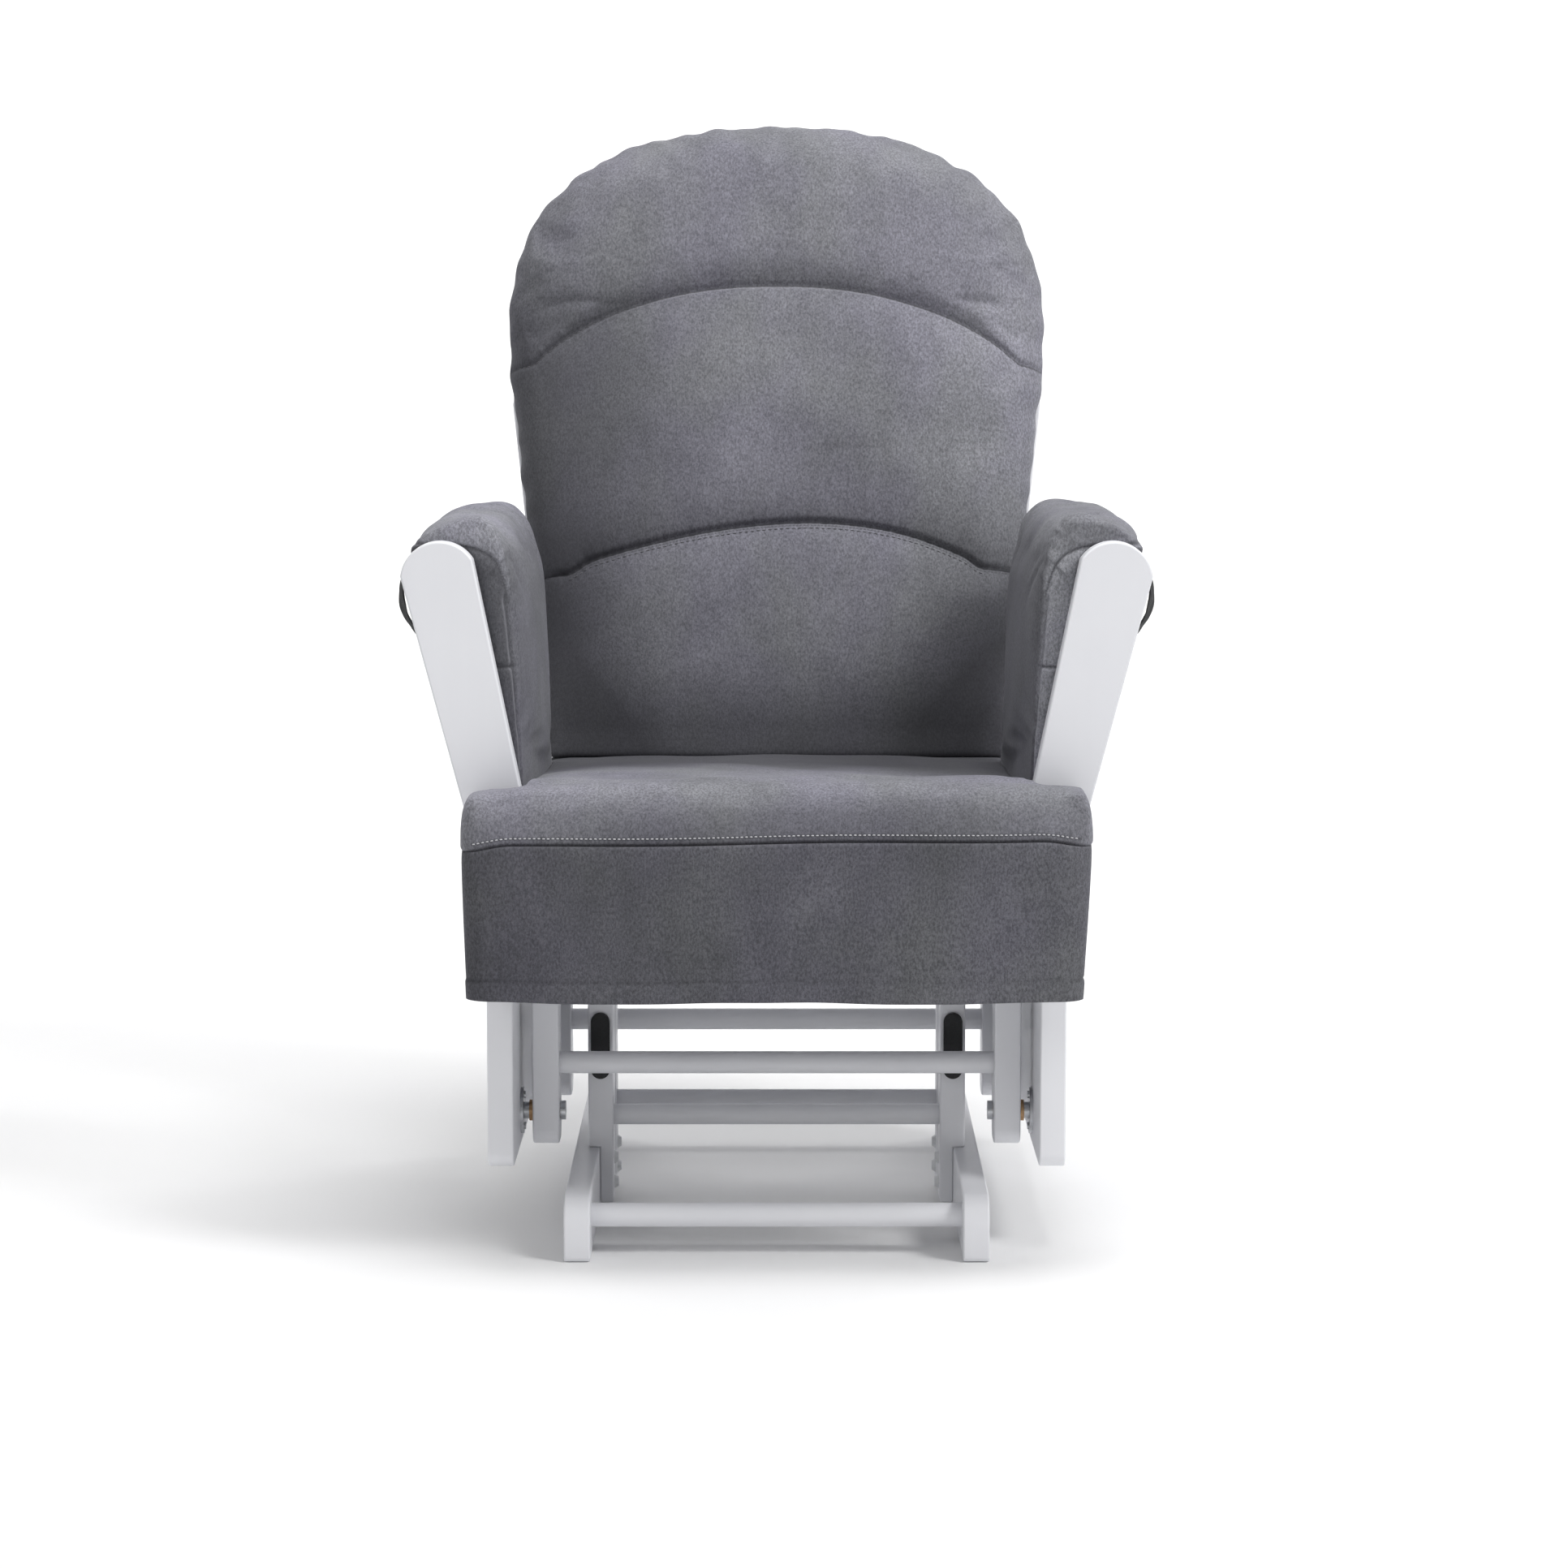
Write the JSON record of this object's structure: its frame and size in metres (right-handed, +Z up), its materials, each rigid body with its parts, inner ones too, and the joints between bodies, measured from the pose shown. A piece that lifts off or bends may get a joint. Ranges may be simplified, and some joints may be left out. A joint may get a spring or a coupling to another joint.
{
  "type": "glider nursery chair",
  "caption": "High-backed glider nursery chair: painted wooden frame on floor skids, seat hung on swinging links, suede-like seat, back and arm cushions.",
  "frame": {"origin": "on the floor, under the middle of the chair's box", "axes": "+Z up, +Y towards the back of the chair, so the sitter faces -Y, +X to the right of someone who faces the chair"},
  "size_m": [0.695, 0.72, 1.045],
  "materials": {
    "white_paint": "satin white paint",
    "cushion_suede": "brushed microsuede",
    "zinc_steel": "zinc plated",
    "bronze": "sintered",
    "black_rubber": "matt",
    "white_caps": "matt",
    "black_webbing": "woven"
  },
  "bodies": {
    "base": {"skid_left": "white_paint", "skid_right": "white_paint", "upright_front_left": "white_paint", "upright_front_right": "white_paint", "upright_rear_left": "white_paint", "upright_rear_right": "white_paint", "hanger_rail_left": "white_paint", "hanger_rail_right": "white_paint", "skid_dowel_front": "white_paint", "skid_dowel_rear": "white_paint", "upright_dowel_front": "white_paint", "upright_dowel_rear": "white_paint", "bumper_pads": "black_rubber", "base_bolts": "white_caps", "upper_pivot_bolts": "zinc_steel", "upper_pivot_spacers": "zinc_steel"},
    "front_links": {"link_front_left": "white_paint", "link_front_right": "white_paint", "link_dowel_front": "white_paint", "link_bushes_front": "bronze"},
    "rear_links": {"link_rear_left": "white_paint", "link_rear_right": "white_paint", "link_dowel_rear": "white_paint", "link_bushes_rear": "bronze"},
    "seat": {"side_panel_left": "white_paint", "side_panel_right": "white_paint", "lower_pivot_bolts": "zinc_steel", "bearing_plates": "zinc_steel", "seat_rail_front": "white_paint", "seat_rail_rear": "white_paint", "seat_slat_1": "white_paint", "seat_slat_2": "white_paint", "seat_slat_3": "white_paint", "seat_slat_4": "white_paint", "seat_slat_5": "white_paint", "slat_screws": "zinc_steel", "arm_post_front_left": "white_paint", "arm_post_front_right": "white_paint", "arm_post_rear_left": "white_paint", "arm_post_rear_right": "white_paint", "arm_rest_left": "white_paint", "arm_rest_right": "white_paint", "frame_bolts": "zinc_steel", "back_stile_left": "white_paint", "back_stile_right": "white_paint", "back_top_rail": "white_paint", "back_lower_rail": "white_paint", "back_slat_1": "white_paint", "back_slat_2": "white_paint", "back_slat_3": "white_paint", "back_slat_4": "white_paint", "back_slat_5": "white_paint", "seat_cushion": "cushion_suede", "seat_skirt": "cushion_suede", "back_cushion": "cushion_suede", "arm_pad_left": "cushion_suede", "arm_pad_right": "cushion_suede", "arm_straps_left": "black_webbing", "arm_straps_right": "black_webbing"}
  },
  "joints": [
    {"name": "front_link_swing", "type": "hinge", "parent": "base", "child": "front_links", "pos_m": [0, -0.135, 0.3], "axis": [1, 0, 0], "range_deg": [-15, 15]},
    {"name": "rear_link_swing", "type": "hinge", "parent": "base", "child": "rear_links", "pos_m": [0, 0.095, 0.3], "axis": [1, 0, 0], "range_deg": [-15, 15]},
    {"name": "seat_level", "type": "hinge", "parent": "front_links", "child": "seat", "pos_m": [0, -0.135, 0.108], "axis": [1, 0, 0], "range_deg": [-15, 15]}
  ],
  "couplings": [
    {"joint": "rear_link_swing", "follows": "front_link_swing", "ratio": 1},
    {"joint": "seat_level", "follows": "front_link_swing", "ratio": -1}
  ]
}
